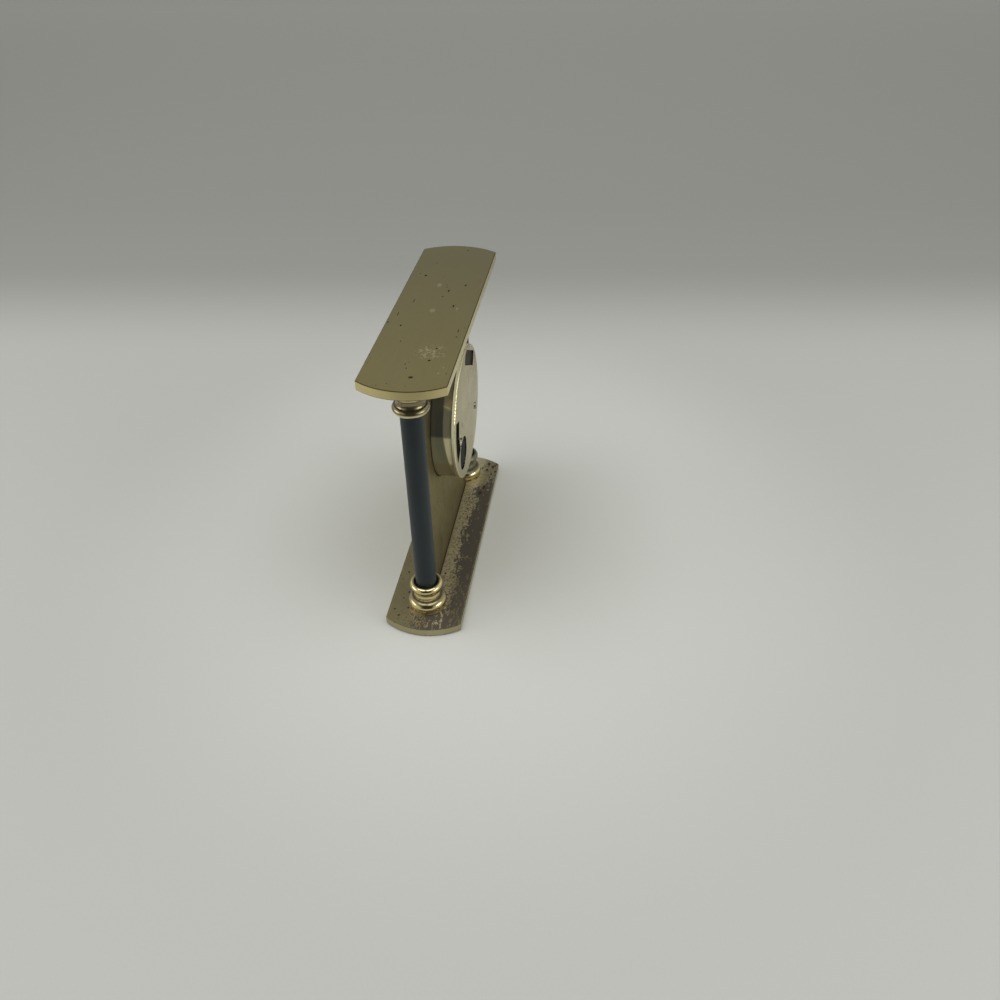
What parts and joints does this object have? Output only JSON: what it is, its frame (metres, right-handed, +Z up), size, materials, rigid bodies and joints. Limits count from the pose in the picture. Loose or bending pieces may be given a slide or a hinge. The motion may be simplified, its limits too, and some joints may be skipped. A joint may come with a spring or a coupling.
{
  "type": "desk clock with calendar",
  "caption": "Brass desk clock with two dark columns between two plates, a round drum in a middle panel and a hand-set calendar under the dial.",
  "frame": {"origin": "on the table, under the middle of the base", "axes": "+X along the plates to the right as seen from the front, +Y to the rear where the drum stands out, +Z up"},
  "size_m": [0.14, 0.036, 0.1337],
  "materials": {
    "plate_brass": "satin, aged, pitted",
    "felt": "felt",
    "column_lacquer": "satin dark blue-green lacquer",
    "polished_brass": "polished",
    "steel": "plain",
    "panel_brass": "brushed",
    "drum_brass": "polished",
    "cover_brass": "satin",
    "calendar_brass": "brushed",
    "brass_screws": "polished",
    "glass": "clear",
    "dial_paint": "satin white",
    "hand_black": "satin black",
    "wheel_card": "matt white",
    "gear_brass": "plain",
    "gear_plastic": "plain",
    "magnet": "plain",
    "knob_plastic": "satin black",
    "movement_plastic": "satin black",
    "motor_iron": "plain",
    "copper": "enamelled copper wire",
    "board": "green laminate",
    "chip_plastic": "plain",
    "cell_steel": "plain"
  },
  "bodies": {
    "clock": {"base_plate": "plate_brass", "top_plate": "plate_brass", "base_felt": "felt", "column_left": "column_lacquer", "column_right": "column_lacquer", "column_base_left": "polished_brass", "column_base_right": "polished_brass", "column_cap_left": "polished_brass", "column_cap_right": "polished_brass", "bezel": "polished_brass", "tie_rod_left": "steel", "tie_rod_right": "steel", "tie_nuts": "steel", "panel_screws": "steel", "cover_screw": "steel", "movement_screws": "steel", "coil_screws": "steel", "mount_panel": "panel_brass", "drum_case": "drum_brass", "back_cover": "cover_brass", "calendar_body": "calendar_brass", "calendar_face": "calendar_brass", "calendar_screws": "brass_screws", "calendar_pins": "brass_screws", "glass": "glass", "dial": "dial_paint", "movement_front_frame": "movement_plastic", "movement_rear_frame": "movement_plastic", "train_plate": "movement_plastic", "coil_bobbin": "movement_plastic", "stator": "motor_iron", "coil_core": "motor_iron", "coil_winding": "copper", "circuit_board": "board", "chip": "chip_plastic", "battery": "cell_steel", "crystal": "cell_steel", "battery_contact": "cell_steel"},
    "minute_works": {"cannon_pinion": "gear_brass", "minute_hand": "hand_black"},
    "hour_works": {"hour_wheel": "gear_brass", "hour_hand": "hand_black"},
    "minute_wheel_works": {"minute_wheel": "gear_brass"},
    "setting_works": {"setting_pinion": "gear_plastic", "setting_knob": "knob_plastic"},
    "rotor": {"rotor_magnet": "magnet", "rotor_pinion": "gear_plastic"},
    "third_wheel_works": {"third_wheel": "gear_plastic"},
    "seconds_works": {"seconds_wheel": "gear_plastic", "seconds_hand": "hand_black"},
    "date_wheel": {"date_wheel": "wheel_card"},
    "day_wheel": {"day_wheel": "wheel_card"},
    "month_wheel": {"month_wheel": "wheel_card"}
  },
  "joints": [
    {"name": "minute_hand_turn", "type": "hinge", "parent": "clock", "child": "minute_works", "pos_m": [0, 0, 0.0814], "axis": [0, 1, 0], "continuous": true},
    {"name": "hour_hand_turn", "type": "hinge", "parent": "clock", "child": "hour_works", "pos_m": [0, 0, 0.0814], "axis": [0, 1, 0], "continuous": true},
    {"name": "minute_wheel_turn", "type": "hinge", "parent": "clock", "child": "minute_wheel_works", "pos_m": [0.01169, 0, 0.07871], "axis": [0, 1, 0], "continuous": true},
    {"name": "setting_knob_turn", "type": "hinge", "parent": "clock", "child": "setting_works", "pos_m": [0.0132, 0, 0.0668], "axis": [0, 1, 0], "continuous": true},
    {"name": "rotor_turn", "type": "hinge", "parent": "clock", "child": "rotor", "pos_m": [-0.00857, 0, 0.08887], "axis": [0, 1, 0], "continuous": true},
    {"name": "third_wheel_turn", "type": "hinge", "parent": "clock", "child": "third_wheel_works", "pos_m": [-0.0052, 0, 0.0844], "axis": [0, 1, 0], "continuous": true},
    {"name": "seconds_hand_turn", "type": "hinge", "parent": "clock", "child": "seconds_works", "pos_m": [0, 0, 0.0814], "axis": [0, 1, 0], "continuous": true},
    {"name": "date_wheel_turn", "type": "hinge", "parent": "clock", "child": "date_wheel", "pos_m": [0, 0, 0.0261], "axis": [0, 1, 0], "continuous": true},
    {"name": "day_wheel_turn", "type": "hinge", "parent": "clock", "child": "day_wheel", "pos_m": [-0.03, 0, 0.0326], "axis": [0, 1, 0], "continuous": true},
    {"name": "month_wheel_turn", "type": "hinge", "parent": "clock", "child": "month_wheel", "pos_m": [0.03, 0, 0.0326], "axis": [0, 1, 0], "continuous": true}
  ],
  "couplings": [
    {"joint": "hour_hand_turn", "follows": "minute_hand_turn", "ratio": 0.083333},
    {"joint": "minute_wheel_turn", "follows": "minute_hand_turn", "ratio": -0.33333},
    {"joint": "setting_knob_turn", "follows": "minute_hand_turn", "ratio": 1},
    {"joint": "third_wheel_turn", "follows": "rotor_turn", "ratio": -0.16667},
    {"joint": "seconds_hand_turn", "follows": "rotor_turn", "ratio": 0.033333}
  ]
}
